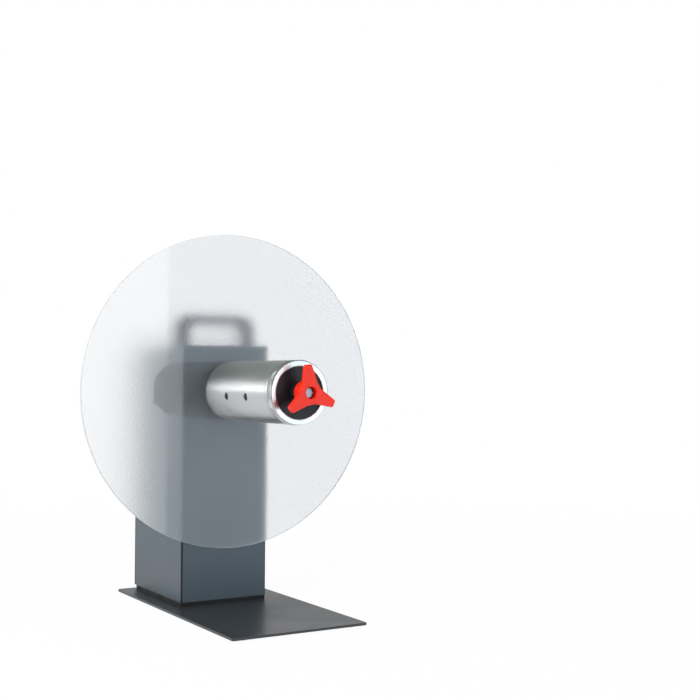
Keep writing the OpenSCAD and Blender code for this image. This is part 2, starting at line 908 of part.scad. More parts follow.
module expander() {
    back_s = disc_front_s + rear_plug_t + skirt_gap;
    front_s = front_row_s + pin_r + pin_edge;
    color("#9a9da1")
        difference() {
            union() {
                along_shaft(back_s) cylinder(r = skirt_r, h = rear_row_s - back_s);
                along_shaft(rear_row_s) cylinder(r = screw_r + nut_wall, h = front_s - rear_row_s);
                for (share = row_shares) along_shaft(rear_row_s + share * row_gap) cone_at_row();
            }
            along_shaft(back_s - over)
                cylinder(r = shaft_r + running_fit, h = shaft_end_s + skirt_gap - back_s + over);
            along_shaft(back_s - over) cylinder(r = screw_r + running_fit, h = front_s - back_s + 2 * over);
            along_shaft(back_s - over)
                translate([-key_w / 2 - screw_gap, 0, 0])
                    cube([
                        key_w + 2 * screw_gap,
                        shaft_r + key_h + screw_gap,
                        shaft_end_s + skirt_gap - back_s + over
                    ]);
        }
}

// Grip pins: each foot is cut to the cone's slope
module grip_pins(turn) {
    color("#5c6064")
        at_pins() rotate([0, 0, turn])
            difference() {
                rotate([0, 90, 0]) cylinder(r = pin_r, h = pin_tip_r);
                translate([0, 0, pin_r + pin_edge - cone_len])
                    cylinder(r1 = cone_big_r + part_gap, r2 = cone_small_r + part_gap, h = cone_len);
                translate([garter_ring_r, 0, 0]) rotate([90, 0, 0])
                    cylinder(r = garter_hole_r, h = 3 * pin_r, center = true);
            }
}

module grip_pins_left() {
    grip_pins(0);
}

module grip_pins_right() {
    grip_pins(120);
}

module grip_pins_top() {
    grip_pins(240);
}

module garter_rings() {
    color("#a8842c")
        for (share = row_shares)
            along_shaft(rear_row_s + share * row_gap)
                rotate_extrude() translate([garter_ring_r, 0]) circle(garter_r);
}

// Knob and lead screw
module lead_screw() {
    start_s = shaft_end_s - screw_end_len;
    shoulder_s = shaft_end_s + part_gap;
    collar_s = front_plug_s - part_gap - screw_collar_t;
    color("#c6c9cc")
        difference() {
            union() {
                along_shaft(start_s) cylinder(r = screw_end_r, h = knob_back_s - start_s);
                along_shaft(shoulder_s) cylinder(r = screw_r, h = knob_back_s - shoulder_s);
                along_shaft(collar_s) cylinder(r = screw_collar_r, h = screw_collar_t);
            }
            along_shaft(knob_back_s - knob_bolt_depth) cylinder(r = knob_bolt_r, h = knob_bolt_depth + over);
        }
}

module knob_hub() {
    back_s = face_s + part_gap;
    color("#17181a") along_shaft(back_s) ring(knob_hub_r, screw_r, knob_back_s - back_s);
}

function arc(centre, r, from, to, steps) = [
    for (i = [0 : steps])
        let (a = from + (to - from) * i / steps)
            centre + r * [cos(a), sin(a)]
];

function turned(points, a) =
    [for (p = points) [p[0] * cos(a) - p[1] * sin(a), p[0] * sin(a) + p[1] * cos(a)]];

function lobe_points() = concat(
    arc([lobe_reach - lobe_corner_r, -(lobe_half_w - lobe_corner_r)], lobe_corner_r, -lobe_side, 0, 6),
    arc([lobe_reach - lobe_corner_r, lobe_half_w - lobe_corner_r], lobe_corner_r, 0, lobe_side, 6),
    arc(blend_centre * [cos(60), sin(60)], lobe_blend_r, 180 + lobe_side, 300 - lobe_side, 8)
);

module tri_lobe_knob() {
    color("#e23b2e")
        difference() {
            union() {
                along_shaft(knob_back_s) cylinder(r = knob_boss_r, h = knob_boss_len + knob_t / 2);
                along_shaft(lobe_back_s) linear_extrude(knob_t)
                    polygon([for (i = [0 : 2]) each turned(lobe_points(), lobe_angle + i * 120)]);
            }
            along_shaft(knob_back_s - over)
                cylinder(r = knob_bolt_r + screw_gap, h = knob_boss_len + 2 * over);
            along_shaft(knob_front_s - knob_bore_depth) cylinder(r = knob_bore_r, h = knob_bore_depth + over);
        }
}

module knob_washer() {
    color("#c6c9cc")
        along_shaft(knob_front_s - knob_bore_depth)
            ring(knob_bore_r - screw_gap, knob_bolt_r, knob_washer_t);
}

module knob_bolt() {
    head_s = knob_front_s - knob_bore_depth + knob_washer_t;
    start_s = knob_back_s - knob_bolt_depth;
    color("#9da0a4") {
        along_shaft(start_s) cylinder(r = knob_bolt_r, h = head_s + knob_head_t - start_s);
        along_shaft(head_s) cylinder(r = knob_head_r, h = knob_head_t, $fn = 6);
    }
}

// Crank
module crank_arm() {
    color("#4f5357")
        difference() {
            union() {
                along_shaft(arm_back_s) cylinder(r = boss_r, h = boss_len + arm_t);
                along_shaft(arm_back_s) translate([0, -crank_reach, 0]) cylinder(r = arm_end_r, h = arm_t);
                along_shaft(arm_back_s)
                    linear_extrude(arm_t)
                        polygon([
                            [-arm_root_share * boss_r, 0],
                            [arm_root_share * boss_r, 0],
                            [arm_end_r, -crank_reach],
                            [-arm_end_r, -crank_reach]
                        ]);
            }
            along_shaft(arm_back_s - over) cylinder(r = shaft_r, h = boss_len + arm_t + 2 * over);
            along_shaft(arm_back_s - over) translate([0, -crank_reach, 0])
                cylinder(r = grip_bolt_r, h = arm_t + 2 * over);
            along_shaft(boss_front_s - boss_len / 2) rotate([-90, 0, 0])
                cylinder(r = grub_r, h = boss_r + over);
        }
}

module crank_set_screw() {
    color("#2b2d30")
        along_shaft(boss_front_s - boss_len / 2) translate([0, shaft_r, 0])
            rotate([-90, 0, 0]) grub_screw(grub_r, boss_r - shaft_r - screw_gap);
}

module crank_end_washer() {
    color("#c6c9cc")
        along_shaft(arm_back_s - end_washer_t) ring(shaft_r + end_washer_lip, grub_r, end_washer_t);
}

module crank_end_screw() {
    color("#2b2d30")
        along_shaft(arm_back_s - end_washer_t) mirror([0, 0, 1]) button_screw(grub_r, end_screw_len);
}

module at_grip(s) {
    along_shaft(s) translate([0, -crank_reach, 0]) children();
}

module grip_bolt() {
    start_s = grip_back_s + grip_pocket - screw_gap - grip_bolt_head_t;
    color("#b9bcc0")
        at_grip(start_s)
            difference() {
                union() {
                    cylinder(r = grip_bolt_head_r, h = grip_bolt_head_t);
                    cylinder(r = grip_bolt_r, h = arm_front_s + grip_nut_t - start_s);
                }
                translate([0, 0, -over])
                    cylinder(r = grip_bolt_head_r / 2, h = grip_bolt_head_t / 2 + over, $fn = 6);
            }
}

module grip_nut() {
    color("#b9bcc0") at_grip(arm_front_s) rotate([0, 0, 30]) hex_nut(grip_bolt_r, grip_nut_t);
}

module crank_grip() {
    neck_r = grip_r * grip_neck_share;
    end_r = grip_r * grip_end_share;
    color("#1f2022")
        at_grip(grip_back_s)
            difference() {
                rotate_extrude($fn = 96)
                    polygon(concat(
                        [[0, 0]],
                        arc([end_r - grip_bottom_edge, grip_bottom_edge], grip_bottom_edge, -90, 0, 6),
                        [for (i = [1 : grip_steps - 1]) let (t = i / grip_steps) [
                            end_r + (grip_r - end_r) * sin(180 * t) - (end_r - neck_r) * t * t,
                            grip_bottom_edge + (grip_len - grip_bottom_edge - grip_top_edge) * t
                        ]],
                        arc([neck_r - grip_top_edge, grip_len - grip_top_edge], grip_top_edge, 0, 90, 5),
                        [[0, grip_len]]
                    ));
                translate([0, 0, -over]) cylinder(r = grip_bolt_r + running_fit, h = grip_len + 2 * over);
                translate([0, 0, -over]) cylinder(r = grip_bolt_head_r + part_gap, h = grip_pocket + over);
            }
}

base_plate();
rubber_feet();
base_screws();
base_nuts();
chassis();
handle_bridge();
bridge_screws();
bridge_nuts();
casing_wrap();
top_back_cover();
cover_screws();
carry_handle();
handle_screws();
front_bearing_housing();
rear_bearing_housing();
housing_bolts();
housing_nuts();
outer_races();
inner_races();
bearing_balls();
shaft_seals();
shaft_collars();
collar_screws();
shaft();
disc_hub();
hub_grub_screws();
hub_screws();
flange_disc();
rear_drum_plug();
core_drum();
pin_guides();
front_drum_plug();
front_ring();
face_plate();
expander_key();
expander();
grip_pins_left();
grip_pins_right();
grip_pins_top();
garter_rings();
lead_screw();
knob_hub();
tri_lobe_knob();
knob_washer();
knob_bolt();
crank_arm();
crank_set_screw();
crank_end_washer();
crank_end_screw();
grip_bolt();
grip_nut();
crank_grip();
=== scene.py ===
import json
import math

import bmesh
import bpy
from mathutils import Matrix, Vector


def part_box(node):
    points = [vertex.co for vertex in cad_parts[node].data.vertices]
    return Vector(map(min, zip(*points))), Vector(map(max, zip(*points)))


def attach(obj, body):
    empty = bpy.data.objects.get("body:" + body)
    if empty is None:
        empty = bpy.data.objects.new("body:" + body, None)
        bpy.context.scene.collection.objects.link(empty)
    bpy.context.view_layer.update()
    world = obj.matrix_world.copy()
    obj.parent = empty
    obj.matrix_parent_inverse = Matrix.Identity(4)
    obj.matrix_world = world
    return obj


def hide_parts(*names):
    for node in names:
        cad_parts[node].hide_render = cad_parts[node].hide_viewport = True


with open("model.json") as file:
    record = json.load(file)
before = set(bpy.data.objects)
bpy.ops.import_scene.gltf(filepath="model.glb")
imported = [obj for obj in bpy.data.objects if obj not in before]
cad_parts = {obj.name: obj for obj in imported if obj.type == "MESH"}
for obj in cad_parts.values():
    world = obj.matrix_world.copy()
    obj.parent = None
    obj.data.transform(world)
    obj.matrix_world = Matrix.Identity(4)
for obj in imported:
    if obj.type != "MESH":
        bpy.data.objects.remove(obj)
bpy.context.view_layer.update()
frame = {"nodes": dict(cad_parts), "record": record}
nodes = frame["nodes"]
mm = 0.001
print("frame loaded:", len(nodes), "nodes")

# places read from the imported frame
casingLow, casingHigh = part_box("casing_wrap")
discLow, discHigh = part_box("flange_disc")
drumLow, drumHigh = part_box("core_drum")
ringLow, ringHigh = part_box("front_ring")
knobLow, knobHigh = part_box("tri_lobe_knob")
handleLow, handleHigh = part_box("carry_handle")
shaftZ = (discLow.z + discHigh.z) / 2


# node helpers: an input may be a plain value or another node's output
def addNode(tree, kind, settings=None, inputs=None):
    node = tree.nodes.new("ShaderNode" + kind)
    for name, value in (settings or {}).items():
        setattr(node, name, value)
    for name, value in (inputs or {}).items():
        if isinstance(value, bpy.types.NodeSocket):
            tree.links.new(value, node.inputs[name])
        else:
            node.inputs[name].default_value = value
    return node


def calc(tree, operation, a, b=0.0):
    return addNode(tree, "Math", {"operation": operation}, {0: a, 1: b}).outputs[0]


def blendColor(tree, factor, a, b, blend="MIX"):
    settings = {"data_type": "RGBA", "blend_type": blend}
    return addNode(tree, "Mix", settings, {0: factor, 6: a, 7: b}).outputs[2]


def remap(tree, value, low, high, newLow, newHigh):
    inputs = {"Value": value, "From Min": low, "From Max": high, "To Min": newLow, "To Max": newHigh}
    return addNode(tree, "MapRange", None, inputs).outputs["Result"]


def noise(tree, place, scale, detail=2.0, rough=0.5):
    inputs = {"Vector": place, "Scale": scale, "Detail": detail, "Roughness": rough}
    return addNode(tree, "TexNoise", None, inputs).outputs["Fac"]


# most of a noise lies in this span
noiseSpan = (0.3, 0.7)


def fromNoise(tree, value, reach):
    return remap(tree, value, *noiseSpan, *reach)


def makeGroup(name, inputs, outputs):
    tree = bpy.data.node_groups.new(name, "ShaderNodeTree")
    for label, kind, value in inputs:
        socket = tree.interface.new_socket(name=label, in_out="INPUT", socket_type="NodeSocket" + kind)
        socket.default_value = value
    for label, kind in outputs:
        tree.interface.new_socket(name=label, in_out="OUTPUT", socket_type="NodeSocket" + kind)
    return tree, tree.nodes.new("NodeGroupInput").outputs, tree.nodes.new("NodeGroupOutput").inputs


# a grey from one value, and a colour made lighter or darker by it
def greyOf(tree, tone):
    return addNode(tree, "CombineColor", None, {"Red": tone, "Green": tone, "Blue": tone}).outputs[0]


def toned(tree, color, tone):
    return blendColor(tree, 1.0, color, greyOf(tree, tone), "MULTIPLY")


def objectPlace(tree):
    return addNode(tree, "TexCoord").outputs["Object"]


surfaceOutputs = [("Color", "Color"), ("Roughness", "Float"), ("Height", "Float")]


# powder coat: orange peel with a finer grain on it, and slow clouds in the tone
coatLook = {
    "grainDetail": (3.0, 0.6),
    "peelShare": 0.22,  # of the grain's scale
    "cloudScale": 7.0,
    "speck": (0.35, 0.7),
    "cloudTone": (-0.06, 0.06),
    "cloudRoughness": (-0.05, 0.05),
    "grainRoughness": (-0.06, 0.06),
    "grainRelief": 0.45,
}


def makePowderCoat(look):
    tree, start, end = makeGroup("powderCoat", [
        ("Paint", "Color", (0.05, 0.05, 0.05, 1)),
        ("Grain Scale", "Float", 900.0),
        ("Grain Contrast", "Float", 0.2),
        ("Base Roughness", "Float", 0.5),
    ], surfaceOutputs)
    place = objectPlace(tree)
    grain = noise(tree, place, start["Grain Scale"], *look["grainDetail"])
    peel = noise(tree, place, calc(tree, "MULTIPLY", start["Grain Scale"], look["peelShare"]), 1.0)
    cloud = noise(tree, place, look["cloudScale"], 3.0)
    speck = remap(tree, grain, *look["speck"], 0.0, 1.0)
    shade = calc(tree, "MULTIPLY", calc(tree, "SUBTRACT", speck, 0.5), start["Grain Contrast"])
    tone = calc(tree, "ADD", calc(tree, "ADD", shade, 1.0), fromNoise(tree, cloud, look["cloudTone"]))
    tree.links.new(toned(tree, start["Paint"], tone), end["Color"])
    rough = calc(tree, "ADD", start["Base Roughness"], fromNoise(tree, cloud, look["cloudRoughness"]))
    rough = calc(tree, "ADD", rough, fromNoise(tree, grain, look["grainRoughness"]))
    tree.links.new(rough, end["Roughness"])
    relief = calc(tree, "ADD", calc(tree, "MULTIPLY", grain, look["grainRelief"]), peel)
    tree.links.new(relief, end["Height"])
    return tree


# turned or ground metal: fine lines round the shaft's line, on faces as circles and on tubes as rings
turnedLook = {
    "lineDetail": (4.0, 0.65),
    "lineRoughness": 0.12,
    "cloudScale": 24.0,
    "cloudDetail": (4.0, 0.6),
    "cloudTone": (-0.03, 0.02),
    "smudge": (0.45, 0.75),
    "smudgeRoughness": 0.06,
}


def makeTurnedMetal(look):
    tree, start, end = makeGroup("turnedMetal", [
        ("Metal", "Color", (0.7, 0.7, 0.7, 1)),
        ("Line Scale", "Float", 3000.0),
        ("Line Contrast", "Float", 0.1),
        ("Base Roughness", "Float", 0.2),
        ("Axis Height", "Float", 0.278),
    ], surfaceOutputs)
    place = objectPlace(tree)
    parts = addNode(tree, "SeparateXYZ", None, {0: place}).outputs
    up = calc(tree, "SUBTRACT", parts["Z"], start["Axis Height"])
    squares = [calc(tree, "MULTIPLY", side, side) for side in (parts["X"], up)]
    along = calc(tree, "ADD", calc(tree, "SQRT", calc(tree, "ADD", *squares)), parts["Y"])
    detail, breakup = look["lineDetail"]
    lines = addNode(tree, "TexNoise", {"noise_dimensions": "1D"}, {
        "W": along, "Scale": start["Line Scale"],
        "Detail": detail, "Roughness": breakup}).outputs["Fac"]
    cloud = noise(tree, place, look["cloudScale"], *look["cloudDetail"])
    offMean = calc(tree, "SUBTRACT", lines, 0.5)
    tone = calc(tree, "ADD", 1.0, calc(tree, "MULTIPLY", offMean, start["Line Contrast"]))
    tone = calc(tree, "ADD", tone, fromNoise(tree, cloud, look["cloudTone"]))
    tree.links.new(toned(tree, start["Metal"], tone), end["Color"])
    lineRough = calc(tree, "MULTIPLY", offMean, look["lineRoughness"])
    smudges = remap(tree, cloud, *look["smudge"], 0.0, look["smudgeRoughness"])
    rough = calc(tree, "ADD", calc(tree, "ADD", start["Base Roughness"], lineRough), smudges)
    tree.links.new(rough, end["Roughness"])
    tree.links.new(lines, end["Height"])
    return tree


# zinc plate: soft crystal patches with a little grey bloom
zincLook = {
    "bloomScale": 60.0,
    "bloomDetail": (4.0, 0.6),
    "flakeTone": (0.94, 1.04),
    "bloomTone": (-0.05, 0.04),
    "flakeRoughness": (-0.05, 0.05),
    "bloomRoughness": (-0.04, 0.08),
    "flakeRelief": 0.2,
}


def makeZincPlate(look):
    tree, start, end = makeGroup("zincPlate", [
        ("Metal", "Color", (0.6, 0.6, 0.6, 1)),
        ("Patch Scale", "Float", 160.0),
        ("Base Roughness", "Float", 0.35),
    ], surfaceOutputs)
    place = objectPlace(tree)
    cells = addNode(tree, "TexVoronoi", None, {"Vector": place, "Scale": start["Patch Scale"]}).outputs
    flake = addNode(tree, "SeparateColor", None, {0: cells["Color"]}).outputs["Red"]
    bloom = noise(tree, place, look["bloomScale"], *look["bloomDetail"])
    flakeTone = remap(tree, flake, 0.0, 1.0, *look["flakeTone"])
    tone = calc(tree, "ADD", flakeTone, fromNoise(tree, bloom, look["bloomTone"]))
    tree.links.new(toned(tree, start["Metal"], tone), end["Color"])
    flakeRough = remap(tree, flake, 0.0, 1.0, *look["flakeRoughness"])
    rough = calc(tree, "ADD", start["Base Roughness"], flakeRough)
    rough = calc(tree, "ADD", rough, fromNoise(tree, bloom, look["bloomRoughness"]))
    tree.links.new(rough, end["Roughness"])
    relief = calc(tree, "ADD", calc(tree, "MULTIPLY", flake, look["flakeRelief"]), bloom)
    tree.links.new(relief, end["Height"])
    return tree


# moulded plastic and rubber: a fine etched grain, slow flow clouds and duller handled patches
skinLook = {
    "grainDetail": (2.0, 0.55),
    "grainTone": (-0.03, 0.03),
    "flowScale": 35.0,
    "flowTone": (0.95, 1.05),
    "flowRoughness": (-0.03, 0.03),
    "markScale": 90.0,
    "markDetail": (4.0, 0.65),
    "marks": (0.5, 0.7),
}


def makeMouldedSkin(look):
    tree, start, end = makeGroup("mouldedSkin", [
        ("Plastic", "Color", (0.03, 0.03, 0.03, 1)),
        ("Grain Scale", "Float", 1800.0),
        ("Base Roughness", "Float", 0.4),
        ("Handling", "Float", 0.08),
    ], surfaceOutputs)
    place = objectPlace(tree)
    grain = noise(tree, place, start["Grain Scale"], *look["grainDetail"])
    flow = noise(tree, place, look["flowScale"], 3.0)
    patches = noise(tree, place, look["markScale"], *look["markDetail"])
    marks = remap(tree, patches, *look["marks"], 0.0, 1.0)
    flowTone = fromNoise(tree, flow, look["flowTone"])
    tone = calc(tree, "ADD", flowTone, fromNoise(tree, grain, look["grainTone"]))
    tree.links.new(toned(tree, start["Plastic"], tone), end["Color"])
    handled = calc(tree, "MULTIPLY", marks, start["Handling"])
    rough = calc(tree, "ADD", start["Base Roughness"], handled)
    rough = calc(tree, "ADD", rough, fromNoise(tree, flow, look["flowRoughness"]))
    tree.links.new(rough, end["Roughness"])
    tree.links.new(grain, end["Height"])
    return tree


effects = {
    "powderCoat": makePowderCoat(coatLook),
    "turnedMetal": makeTurnedMetal(turnedLook),
    "zincPlate": makeZincPlate(zincLook),
    "mouldedSkin": makeMouldedSkin(skinLook),
}


# finish of each material slot: the effect and its values, the shader's own values, and the
# relief's depth in mm
def paint(color, rough, grainScale=900.0, contrast=0.25, depth=0.035):
    return {"effect": "powderCoat", "depth": depth * mm,
            "shader": {"Metallic": 0.0, "Specular IOR Level": 0.5},
            "values": {"Paint": (*color, 1), "Grain Scale": grainScale, "Grain Contrast": contrast,
                       "Base Roughness": rough}}


def turned(color, rough, lineScale=3000.0, contrast=0.12, depth=0.002, spread=0.0):
    return {"effect": "turnedMetal", "depth": depth * mm,
            "shader": {"Metallic": 1.0, "Anisotropic": spread, "Anisotropic Rotation": 0.25},
            "values": {"Metal": (*color, 1), "Line Scale": lineScale, "Line Contrast": contrast,
                       "Base Roughness": rough, "Axis Height": shaftZ}}


def plated(color, rough, patchScale=160.0, depth=0.01):
    return {"effect": "zincPlate", "depth": depth * mm, "shader": {"Metallic": 1.0},
            "values": {"Metal": (*color, 1), "Patch Scale": patchScale, "Base Roughness": rough}}


def moulded(color, rough, grainScale=1800.0, handling=0.08, depth=0.01, specular=0.5):
    return {"effect": "mouldedSkin", "depth": depth * mm,
            "shader": {"Metallic": 0.0, "Specular IOR Level": specular},
            "values": {"Plastic": (*color, 1), "Grain Scale": grainScale, "Base Roughness": rough,
                       "Handling": handling}}


finishes = {
    "base_paint": paint((0.028, 0.031, 0.036), 0.38, 800.0, 0.35, 0.04),
    "casing_paint": paint((0.048, 0.072, 0.092), 0.42, 900.0, 0.25, 0.03),
    "crank_paint": paint((0.030, 0.036, 0.042), 0.42, 1100.0, 0.25, 0.025),
    "foot_rubber": moulded((0.018, 0.018, 0.018), 0.75, 2200.0, 0.1, 0.02),
    "seal_rubber": moulded((0.012, 0.012, 0.013), 0.6, 2400.0, 0.1, 0.01, 0.3),
    "zinc_steel": plated((0.62, 0.63, 0.65), 0.3),
    # the chassis plating is near black, which also paints the shade in the gap under the casing where
    # the chassis shows
    "chassis_steel": plated((0.07, 0.073, 0.08), 0.42, 90.0),
    "black_steel": moulded((0.02, 0.021, 0.023), 0.36, 2600.0, 0.12, 0.006),
    "handle_plastic": moulded((0.020, 0.024, 0.030), 0.5, 1500.0, 0.1, 0.02),
    "housing_metal": turned((0.55, 0.56, 0.58), 0.32, 1800.0),
    "race_steel": turned((0.72, 0.73, 0.74), 0.14, 4000.0),
    "shaft_steel": turned((0.64, 0.65, 0.67), 0.2, 3600.0),
    "hub_aluminium": turned((0.74, 0.75, 0.76), 0.26, 2400.0),
    "drum_steel": turned((0.80, 0.82, 0.82), 0.31, 2600.0, 0.08, 0.004, 0.97),
    "ring_steel": turned((0.70, 0.72, 0.72), 0.3, 3200.0, 0.1, 0.004, 0.85),
    "face_black": moulded((0.010, 0.010, 0.012), 0.34, 2600.0, 0.15, 0.002, 0.25),
    "cone_metal": turned((0.62, 0.63, 0.64), 0.28, 2200.0),
    # the grip pins' steel is near black: painted shade standing in for the dark inside the drum's holes
    "pin_steel": turned((0.08, 0.085, 0.09), 0.4, 3000.0),
    "spring_steel": plated((0.55, 0.47, 0.33), 0.3, 400.0),
    "knob_red": moulded((0.80, 0.024, 0.008), 0.38, 1300.0, 0.1, 0.006, 0.3),
    # the hub behind the knob is black: a dark piece standing in for the shade that the knob casts there
    "knob_hub_black": moulded((0.012, 0.012, 0.014), 0.34, 2000.0, 0.1, 0.006),
    "bolt_steel": plated((0.22, 0.25, 0.28), 0.28, 700.0, 0.004),
    "grip_plastic": moulded((0.017, 0.017, 0.019), 0.45, 1700.0, 0.14, 0.02),
}


def makeFinish(slot, look):
    material = bpy.data.materials.new(slot)
    material.use_nodes = True
    tree = material.node_tree
    shader = tree.nodes["Principled BSDF"]
    for name, value in look["shader"].items():
        shader.inputs[name].default_value = value
    effect = addNode(tree, "Group", {"node_tree": effects[look["effect"]]}, look["values"]).outputs
    bump = addNode(tree, "Bump", None, {
        "Height": effect["Height"], "Distance": look["depth"], "Strength": 1.0})
    tree.links.new(effect["Color"], shader.inputs["Base Color"])
    tree.links.new(effect["Roughness"], shader.inputs["Roughness"])
    tree.links.new(bump.outputs["Normal"], shader.inputs["Normal"])
    if look["shader"].get("Anisotropic"):
        around = addNode(tree, "Tangent", {"direction_type": "RADIAL", "axis": "Y"}).outputs[0]
        tree.links.new(around, shader.inputs["Tangent"])
    return material


# clear acrylic: smooth in front, pebbled at the back, frosted where it was sawn
acrylicIor = 1.49
discLook = {
    "tint": (0.83, 0.838, 0.85, 1),
    "clear": 0.97,
    "frontRoughness": 0.03,
    "backRoughness": 0.32,
    "pebbleScale": 800.0,
    "pebbleDepth": 0.42 * mm,
    "pebbleBlend": 0.6,
    "warpScale": 0.5,  # as a share of the pebbles' scale
    "warpReach": 1.2 * mm,
    "rippleScale": 1.7,  # as a share of the pebbles' scale
    "rippleShare": 0.35,
    "markScale": 14.0,
    "marks": (0.45, 0.75),
    "markRoughness": 0.03,
}


def makeAcrylic(look):
    material = bpy.data.materials.new("clear_acrylic")
    material.use_nodes = True
    tree = material.node_tree
    shader = tree.nodes["Principled BSDF"]
    shader.inputs["Transmission Weight"].default_value = look["clear"]
    shader.inputs["IOR"].default_value = acrylicIor
    shader.inputs["Base Color"].default_value = look["tint"]
    place = objectPlace(tree)
    depth = addNode(tree, "SeparateXYZ", None, {0: place}).outputs["Y"]
    back = calc(tree, "GREATER_THAN", depth, (discLow.y + discHigh.y) / 2)
    warp = addNode(tree, "TexNoise", None, {
        "Vector": place, "Scale": look["pebbleScale"] * look["warpScale"], "Detail": 1.0})
    shifted = addNode(tree, "VectorMath", {"operation": "MULTIPLY_ADD"}, {
        0: warp.outputs["Color"], 1: (look["warpReach"],) * 3, 2: place}).outputs[0]
    pebbles = addNode(tree, "TexVoronoi", {"feature": "SMOOTH_F1"}, {
        "Vector": shifted, "Scale": look["pebbleScale"],
        "Smoothness": look["pebbleBlend"]}).outputs["Distance"]
    ripple = noise(tree, place, look["pebbleScale"] * look["rippleScale"], 2.0)
    relief = calc(tree, "ADD", pebbles, calc(tree, "MULTIPLY", ripple, look["rippleShare"]))
    height = calc(tree, "MULTIPLY", relief, back)
    bump = addNode(tree, "Bump", None, {
        "Height": height, "Distance": look["pebbleDepth"], "Strength": 1.0})
    tree.links.new(bump.outputs["Normal"], shader.inputs["Normal"])
    patches = noise(tree, place, look["markScale"], 4.0, 0.6)
    marks = remap(tree, patches, *look["marks"], 0.0, look["markRoughness"])
    rough = remap(tree, back, 0.0, 1.0, look["frontRoughness"], look["backRoughness"])
    tree.links.new(calc(tree, "ADD", rough, marks), shader.inputs["Roughness"])
    return material


materials = {slot: makeFinish(slot, look) for slot, look in finishes.items()}
materials["clear_acrylic"] = makeAcrylic(discLook)
rimLook = moulded((0.8, 0.82, 0.84), 0.5, 900.0, 0.1, 0.03)
rimLook["shader"].update({"Transmission Weight": 0.5, "IOR": acrylicIor})
sawnRim = makeFinish("acrylic_rim", rimLook)
for part in frame["record"]["subparts"]:
    nodes[part["node"]].data.materials.clear()
    nodes[part["node"]].data.materials.append(materials[part["material_slot"]])
print("materials:", len(materials))


# mesh helpers: a finished bmesh becomes a smooth object, and rows of points are joined into quads,
# with the last row joined to the first or the two ends capped
def linkObject(name, data):
    piece = bpy.data.objects.new(name, data)
    bpy.context.scene.collection.objects.link(piece)
    return piece


def finishMesh(name, mesh):
    bmesh.ops.recalc_face_normals(mesh, faces=mesh.faces)
    for face in mesh.faces:
        face.smooth = True
    data = bpy.data.meshes.new(name)
    mesh.to_mesh(data)
    mesh.free()
    return linkObject(name, data)


def buildMesh(name, rows, closed=True):
    mesh = bmesh.new()
    loops = [[mesh.verts.new(point) for point in row] for row in rows]
    count = len(loops[0])
    pairs = list(zip(loops, loops[1:]))
    if closed:
        pairs.append((loops[-1], loops[0]))
    for first, second in pairs:
        for i in range(count):
            j = (i + 1) % count
            mesh.faces.new((first[i], first[j], second[j], second[i]))
    if not closed:
        mesh.faces.new(loops[0])
        mesh.faces.new(reversed(loops[-1]))
    return finishMesh(name, mesh)


def dress(piece, slot, body, *stoodFor):
    piece.data.materials.append(materials[slot])
    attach(piece, body)
    if stoodFor:
        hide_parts(*stoodFor)
    return piece


def shadeByAngle(piece, degrees=35):
    piece.data.set_sharp_from_angle(angle=math.radians(degrees))


def quarterTurn(steps):
    return [math.radians(90 * i / steps) for i in range(steps + 1)]


# front ring: turned profile, with a diamond knurl behind its nose
ringLook = {
    "around": 672,
    "diamonds": 84,
    "knurlRows": 20,
    "knurlDepth": 0.7 * mm,
    "knurlLength": 7 * mm,
    "knurlLand": 0.8 * mm,
    "knurlFlat": 0.25,  # share of each diamond's height that stays flat on top
    "knurlEnd": (0.3 * mm, 0.15 * mm),
    "noseEdge": 1.6 * mm,
    "noseSquash": 0.9,
    "noseSteps": 10,
    "groove": 0.3 * mm,
    "grooveEnds": (2, 1.4),  # in groove depths behind the knurl: where it starts, and where it is deep
    "seam": 0.12 * mm,
    "faceWidth": 7.4 * mm,
    "faceStart": 0.2 * mm,
    "eyeEdge": (2 * mm, 1.5 * mm),
    "eyeSteps": 8,
    "lip": 6 * mm,
    "wall": 3.3 * mm,
}


def ringProfile(look):
    outer, length = ringHigh.x, ringHigh.y - ringLow.y
    bore, eye, lip = outer - look["wall"], outer - look["faceWidth"], length - look["lip"]
    nose, groove, seam = look["noseEdge"], look["groove"], look["seam"]
    front = length - nose - look["knurlLand"]
    back = front - look["knurlLength"]
    shallow, deep = look["grooveEnds"]
    points = [(bore, 0, 0), (outer - seam, 0, 0), (outer, seam, 0),
              (outer, back - shallow * groove, 0),
              (outer - groove, back - deep * groove, 0), (outer - groove, back - groove, 0)]
    for i in range(look["knurlRows"] + 1):
        points.append((outer, back + i / look["knurlRows"] * (front - back), 1))
    sunk, beyond = look["knurlEnd"]
    points.append((outer - sunk, front + beyond, 0))
    noseLength = nose * look["noseSquash"]
    for a in quarterTurn(look["noseSteps"]):
        along = length - noseLength + noseLength * math.sin(a)
        points.append((outer - nose + nose * math.cos(a), along, 0))
    eyeWide, eyeDeep = look["eyeEdge"]
    points.append((outer - nose - look["faceStart"], length, 0))
    for a in reversed(quarterTurn(look["eyeSteps"])):
        points.append((eye + eyeWide * (1 - math.cos(a)), length - eyeDeep * (1 - math.sin(a)), 0))
    points += [(eye, lip, 0), (bore, lip, 0)]
    return points


def makeRing(look):
    profile = ringProfile(look)
    start = min(along for radius, along, knurled in profile if knurled)
    pitch = ringHigh.x * 2 * math.pi / look["diamonds"]
    rows = []
    for radius, along, knurled in profile:
        row = []
        for i in range(look["around"]):
            turn = i / look["around"]
            r = radius
            if knurled:
                climbs = [side * (along - start) / pitch for side in (1, -1)]
                cuts = [abs(2 * ((turn * look["diamonds"] + climb) % 1) - 1) for climb in climbs]
                flat = look["knurlFlat"]
                r -= look["knurlDepth"] * max(0.0, max(cuts) - flat) / (1 - flat)
            a = turn * 2 * math.pi
            row.append((r * math.cos(a), ringHigh.y - along, shaftZ + r * math.sin(a)))
        rows.append(row)
    ring = buildMesh("front_ring_turned", rows)
    shadeByAngle(ring)
    return dress(ring, "ring_steel", "spindle", "front_ring")


makeRing(ringLook)
print("front ring: done")

